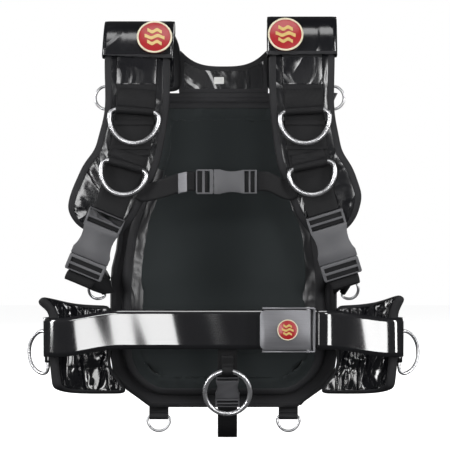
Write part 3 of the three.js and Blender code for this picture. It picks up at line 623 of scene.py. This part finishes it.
def turn_about(axis, centre_a, centre_b, flip=1):
    """How far round a centre a point lies, in the plane across an axis, from zero to a full turn."""
    def progress(point):
        a, b = ((point.y, point.z) if axis == "x" else (flip * point.x, point.y))
        return math.atan2(b - centre_b, a - centre_a) % (2 * math.pi)
    return progress


def band_on(strap_piece, name, low, high, thickness, finish="webbing", along=2, body="pack"):
    """A loop of elastic or tape round the front of a piece, between two places along x (0) or z (2)."""
    plane = [float(axis == along) for axis in range(3)]
    for place in (low, high):
        cut = {"plane_co": [place * n for n in plane], "plane_no": plane}
        edit(strap_piece, (bpy.ops.mesh.bisect, cut))
    mesh = strap_piece.data
    rows = [p.index for p in mesh.polygons if low < p.center[along] < high and p.normal.y < -0.5]
    layer = lift_off(strap_piece, name, rows, thickness)
    apply(layer, "BEVEL", width=0.4 * thickness, segments=2, limit_method="ANGLE", angle_limit=ROUND_EDGE)
    return finish_piece(layer, body, finish, 50)


def ripple(piece, depth, length):
    """Lets a belt lie in shallow waves from front to back, so that its shine breaks into bands."""
    for vertex in piece.data.vertices:
        phase = (vertex.co.x + 0.25 * vertex.co.z) / length
        vertex.co.y += depth * math.sin(2 * math.pi * phase)
    return piece


ELASTIC_LOOPS = ((147, 153), (116, 121), (108, 112))  # the lower and upper edge of each, in mm

over_shoulder = turn_about("x", -75 * MM, 80 * MM)
for side, sign in SIDES.items():
    web = strap(f"shoulder_web_{side}", f"webbing_{side}", over_shoulder, (1, 0, 0))
    for number, (low, high) in enumerate(ELASTIC_LOOPS):
        band_on(web, f"elastic_loop_{side}_{number}", low * MM, high * MM, 1.6 * MM)
    band_on(web, f"web_cover_{side}", 199 * MM, 234 * MM, 0.5 * MM, "coated")
    for part in ("chest_ring_keeper", "lower_ring_keeper", "outer_ring_tab"):
        strap(f"{part}_{side}", f"{part}_cloth_{side}", lambda p: p.z, (1, 0, 0), levels=1)
    strap(f"side_anchor_{side}", f"side_tab_{side}", lambda p: -p.y, (0, 0, 1), levels=1)
    strap(f"lower_web_{side}", f"lower_webbing_{side}", lambda p: -p.y, (0, 0, 1),
          plug=f"shoulder_buckle_plug_{side}")
    chest_plug = "chest_buckle_plug" if side == "left" else None
    chest = strap(f"chest_web_{side}", f"chest_webbing_{side}", lambda p: p.x, (0, 0, 1), plug=chest_plug)
    if chest_plug:
        keeper = band_on(chest, "chest_web_keeper", -57 * MM, -46 * MM, 1.2 * MM, "brushed",
                         along=0, body=None)
        follow_plug(keeper, chest_plug, chest)
    round_waist = turn_about("z", 0, -70 * MM, flip=-sign)
    belt = strap(f"waist_belt_{side}", f"belt_webbing_{side}", round_waist, (0, 0, 1),
                 "belt", crease=1.0)
    ripple(belt, 0.5 * MM, 70 * MM)
strap("crotch_web_upper", "crotch_webbing_front", lambda p: p.z, (1, 0, 0))
strap("crotch_web_lower", "crotch_webbing_under", turn_about("x", -60 * MM, -190 * MM), (1, 0, 0),
      plug="crotch_buckle_plug")


# ---------------------------------------------------------------- rings


def wire_ring(node, name, lost):
    """Round wire in place of a CAD ring. Smoothing thins the wire, so it is thickened by what was lost."""
    piece = copy_of(node, name)
    apply(piece, "SUBSURF", levels=2, render_levels=2)
    edit(piece, (bpy.ops.transform.shrink_fatten, {"value": lost}))
    return finish_piece(piece, BODY_OF[node], "steel", 80, [node])


RING_LOSSES = {"chest": 0.45, "lower": 0.45, "outer": 0.27, "side": 0.27, "waist": 0.36, "hem": 0.27}

for side in SIDES:
    for part, lost in RING_LOSSES.items():
        wire_ring(f"{part}_ring_{side}", f"{part}_wire_ring_{side}", lost * MM)
wire_ring("crotch_ring", "round_wire_ring", 0.3 * MM)


# ---------------------------------------------------------------- moulded and metal parts


def eased(node, name, width, finish, segments=2, angle=35):
    """A hard part in place of its CAD solid, with every edge eased."""
    piece = copy_of(node, name, quads=False)
    edit(piece, (bpy.ops.mesh.dissolve_limited, {"angle_limit": math.radians(1)}))
    apply(piece, "BEVEL", width=width, segments=segments, limit_method="ANGLE",
          angle_limit=math.radians(28), use_clamp_overlap=True)
    return finish_piece(piece, BODY_OF[node], finish, angle, [node])


for part in ("shoulder_buckle_socket_left", "shoulder_buckle_socket_right", "shoulder_buckle_plug_left",
             "shoulder_buckle_plug_right", "chest_buckle_socket", "chest_buckle_plug", "crotch_buckle_socket",
             "crotch_buckle_plug"):
    eased(part, part + "_moulding", 0.7 * MM, "plastic")


def web_in_slots(node, away, length):
    """The webbing looped through the bars at a buckle's end: the last stretch of it in a direction."""
    piece = copy_of(node, node + "_loop")
    away = Vector(away).normalized()
    end = max(v.co.dot(away) for v in piece.data.vertices)
    cut = {"plane_co": away * (end - length), "plane_no": away, "clear_inner": True}
    edit(piece, (bpy.ops.mesh.bisect, cut),
         (bpy.ops.mesh.select_all, {"action": "SELECT"}),
         (bpy.ops.mesh.convex_hull, {"use_existing_faces": False}),
         (bpy.ops.mesh.dissolve_limited, {"angle_limit": math.radians(4)}),
         (bpy.ops.mesh.normals_make_consistent, {}),
         (bpy.ops.transform.shrink_fatten, {"value": -1.7 * MM, "use_even_offset": True}))
    apply(piece, "BEVEL", width=1.0 * MM, segments=3, limit_method="ANGLE", angle_limit=ROUND_EDGE)
    map_strip(piece, lambda p: p.dot(away), away.cross(Vector((0, -1, 0))))
    return finish_piece(piece, BODY_OF[node], "webbing", 50)


# the two halves of each release buckle, its plug's joint, and how much of its end holds webbing, in mm
for halves, slide, length in (
        ("shoulder_buckle_{}_left", "shoulder_plug_left_slide", 19),
        ("shoulder_buckle_{}_right", "shoulder_plug_right_slide", 19),
        ("chest_buckle_{}", "chest_plug_slide", 17),
        ("crotch_buckle_{}", "crotch_plug_slide", 10)):
    outward = Vector(next(j["axis"] for j in JOINTS if j["name"] == slide))
    web_in_slots(halves.format("plug"), outward, length * MM)
    web_in_slots(halves.format("socket"), -outward, length * MM)

eased("cam_buckle_frame", "cam_frame_sheet", 0.5 * MM, "brushed")
eased("cam_buckle_lever", "cam_lever_sheet", 0.7 * MM, "brushed")
eased("cam_buckle_pin", "cam_hinge_pin", 0.4 * MM, "steel")
eased("back_plate", "steel_back_plate", 0.5 * MM, "plate", angle=12)
for row in ("lower", "upper"):
    for side in SIDES:
        eased(f"book_screw_{row}_{side}", f"book_screw_head_{row}_{side}", 0.5 * MM, "steel")


# ---------------------------------------------------------------- cuffs, yoke, panel and label

for side in SIDES:
    cuff = copy_of(f"shoulder_cuff_{side}", f"cuff_cloth_{side}")
    crease_edges(cuff, 0.6)
    apply(cuff, "SUBSURF", levels=2, render_levels=2)
    finish_piece(cuff, "pack", "coated", 50, [f"shoulder_cuff_{side}"])
    hem = min(v.co.z for v in cuff.data.vertices if v.co.y < -40 * MM)
    band_on(cuff, f"cuff_hem_{side}", hem, hem + TAPE_WIDTH, TAPE_THICKNESS, "tape")


def bound_sheet(node, name, finish, crease, levels, tape_width, widen=1.0):
    """A flat cloth part in place of its CAD sheet, with tape along its edges on both faces."""
    sheet = crease_edges(copy_of(node, name), crease)
    edit(sheet, (bpy.ops.transform.resize, {"value": (widen, 1, 1), "center_override": (0, 0, 0)}))
    sheet.data.materials.clear()
    for key in (finish, "tape"):
        sheet.data.materials.append(FINISH[key])
    for polygon in sheet.data.polygons:
        polygon.material_index = 1
    for face in patches(sheet)[:2]:
        inset_patch(sheet, face, tape_width, inner=0, rim=1)
    if levels:
        apply(sheet, "SUBSURF", levels=levels, render_levels=levels)
    tape = lift_off(sheet, name + "_tape", marked(sheet, 1), TAPE_THICKNESS, even=False)
    finish_piece(tape, "pack", "tape", 60)
    return finish_piece(sheet, "pack", None, 50, [node])


bound_sheet("yoke", "yoke_cloth", "coated", 0.6, 2, 6 * MM, widen=1.05)
bound_sheet("rear_panel", "rear_panel_cloth", "woven", 1.0, 0, 5 * MM)
eased("size_label", "size_label_tape", 0.2 * MM, "label", 1)


# ---------------------------------------------------------------- badges


def disc_frame(node):
    """The middle, radius and upright frame of a CAD disc that faces the front."""
    points = [v.co for v in frame["nodes"][node].data.vertices]
    middle = sum(points, Vector()) / len(points)
    normal = Vector()
    for polygon in frame["nodes"][node].data.polygons:
        if polygon.normal.y < -0.8:
            normal += polygon.normal * polygon.area
    normal.normalize()
    right = Vector((0, 0, 1)).cross(-normal).normalized() * -1
    up = right.cross(normal) * -1
    place = Matrix((right, up, normal)).transposed().to_4x4()
    place.translation = middle
    return place, max((p - middle).length for p in points)


def turned_ring(name, outer, inner, height, rise):
    """A flat ring with eased edges, lying on z = 0."""
    size = {"vertices": 64, "radius": outer, "depth": height}
    bpy.ops.mesh.primitive_cylinder_add(location=(0, 0, height / 2), **size)
    piece = bpy.context.object
    piece.name = name
    choose_faces(piece, [p.index for p in piece.data.polygons if abs(p.normal.z) > 0.9])
    bpy.ops.mesh.inset(thickness=outer - inner)
    if inner:
        bpy.ops.mesh.bridge_edge_loops()
    bpy.ops.object.mode_set(mode="OBJECT")
    apply(piece, "BEVEL", width=rise, segments=2, limit_method="ANGLE", angle_limit=ROUND_EDGE)
    return piece


def wave_bar(name, width, height, thickness, swell):
    """A bar with a gentle wave in it."""
    bpy.ops.mesh.primitive_cube_add(size=1)
    piece = bpy.context.object
    piece.name = name
    edit(piece, (bpy.ops.transform.resize, {"value": (width, height, thickness)}))
    choose_faces(piece, range(6))
    bpy.ops.mesh.subdivide(number_cuts=11)
    bpy.ops.object.mode_set(mode="OBJECT")
    for vertex in piece.data.vertices:
        vertex.co.y += swell * math.sin(vertex.co.x / width * 3 * math.pi)
    return piece


def put(piece, place):
    """Moves a piece's mesh by a matrix, with its object left at the origin."""
    piece.data.transform(place @ piece.matrix_world)
    piece.matrix_world = Matrix.Identity(4)
    return piece


def badge(node, name, body):
    """A round moulded badge: a red field in a pale rim, with three plain waves on it."""
    place, radius = disc_frame(node)
    thickness = 1.2 * MM if radius < 20 * MM else 2.5 * MM
    base = turned_ring(name + "_field", radius * 0.97, 0, thickness, 0.25 * MM)
    put(base, place @ Matrix.Translation((0, 0, -thickness / 2)))
    finish_piece(base, body, "red", 40, [node])
    ring = turned_ring(f"{name}_rim", radius * 0.98, radius * 0.88, thickness * 0.5, 0.12 * MM)
    put(ring, place @ Matrix.Translation((0, 0, thickness * 0.2)))
    finish_piece(ring, body, "cream", 40)
    for number, (height, share) in enumerate(((0.36, 0.8), (0.0, 1.1), (-0.36, 0.8))):
        size = (radius * share, radius * 0.2, thickness * 0.4)
        bar = wave_bar(f"{name}_wave_{number}", *size, swell=radius * 0.07)
        put(bar, place @ Matrix.Translation((0, radius * height, thickness * 0.6)))
        finish_piece(bar, body, "gold", 40)


for side in SIDES:
    badge(f"cuff_badge_{side}", f"shoulder_badge_{side}", "pack")
badge("cam_lever_badge", "buckle_badge", "cam_lever")


# ---------------------------------------------------------------- camera, light and floor


def area_light(name, azimuth, distance, height, width, tall, radiance):
    """A soft box that faces the pack, from so many degrees round it to the right."""
    turn = math.radians(azimuth)
    place = Vector((distance * math.sin(turn), -distance * math.cos(turn), height))
    data = bpy.data.lights.new(name, "AREA")
    data.shape = "RECTANGLE"
    data.size = width
    data.size_y = tall
    data.energy = radiance * math.pi * width * tall
    light = bpy.data.objects.new(name, data)
    bpy.context.scene.collection.objects.link(light)
    light.location = place
    light.rotation_euler = (Vector((0, -0.06, 0)) - place).to_track_quat("-Z", "Y").to_euler()
    return light


def pale_world():
    """White wherever it is seen, and a faint light on the pack."""
    world = bpy.data.worlds.new("studio")
    bpy.context.scene.world = world
    world.use_nodes = True
    tree = world.node_tree
    seen = tree.nodes["Background"]
    seen.inputs["Color"].default_value = (1, 1, 1, 1)
    faint = tree.nodes.new("ShaderNodeBackground")
    faint.inputs["Color"].default_value = (0.95, 0.97, 1, 1)
    faint.inputs["Strength"].default_value = 0.05
    path = tree.nodes.new("ShaderNodeLightPath")
    both = tree.nodes.new("ShaderNodeMixShader")
    tree.links.new(path.outputs["Is Camera Ray"], both.inputs["Fac"])
    tree.links.new(faint.outputs["Background"], both.inputs[1])
    tree.links.new(seen.outputs["Background"], both.inputs[2])
    tree.links.new(both.outputs["Shader"], tree.nodes["World Output"].inputs["Surface"])


def pale_floor():
    low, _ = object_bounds()
    bpy.ops.mesh.primitive_plane_add(size=8, location=(0, 1.0, low[2] - 2 * MM))
    floor = bpy.context.object
    floor.name = "floor"
    floor.visible_diffuse = False
    floor.visible_glossy = False
    glow = {"Emission Color": (1, 1, 1, 1), "Emission Strength": 0.9}
    floor.data.materials.append(Shader("pale_floor", (0.9, 0.9, 0.9), 0.9, **glow).material)
    floor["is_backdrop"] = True


def studio():
    pale_floor()
    pale_world()
    area_light("box_left", -13.5, 3.0, -0.1, 0.68, 1.1, 7.5)
    area_light("box_right", 26, 3.0, -0.1, 0.55, 1.1, 9)
    area_light("side_left", -62, 2.2, 0.5, 0.35, 1.5, 17)
    area_light("side_right", 60, 2.2, 0.4, 0.3, 1.5, 17)
    area_light("high_left", -22, 2.9, 1.0, 0.5, 0.5, 9)
    area_light("high_right", 16, 2.9, 1.0, 0.5, 0.5, 12)
    area_light("top", 0, 1.2, 1.9, 1.3, 0.7, 4)
    area_light("back_left", -135, 2.6, 0.9, 0.9, 1.4, 6)
    area_light("back_right", 150, 2.6, 0.7, 0.9, 1.4, 5)

    bpy.context.scene.view_settings.view_transform = "Standard"
    camera = bpy.data.objects.new("camera", bpy.data.cameras.new("camera"))
    bpy.context.scene.collection.objects.link(camera)
    camera.location = (0.0019, -3.1, 0.0205)
    camera.rotation_euler = (math.radians(90), 0, 0)
    camera.data.lens = 36 * 3.0 / 0.576
    bpy.context.scene.camera = camera


studio()
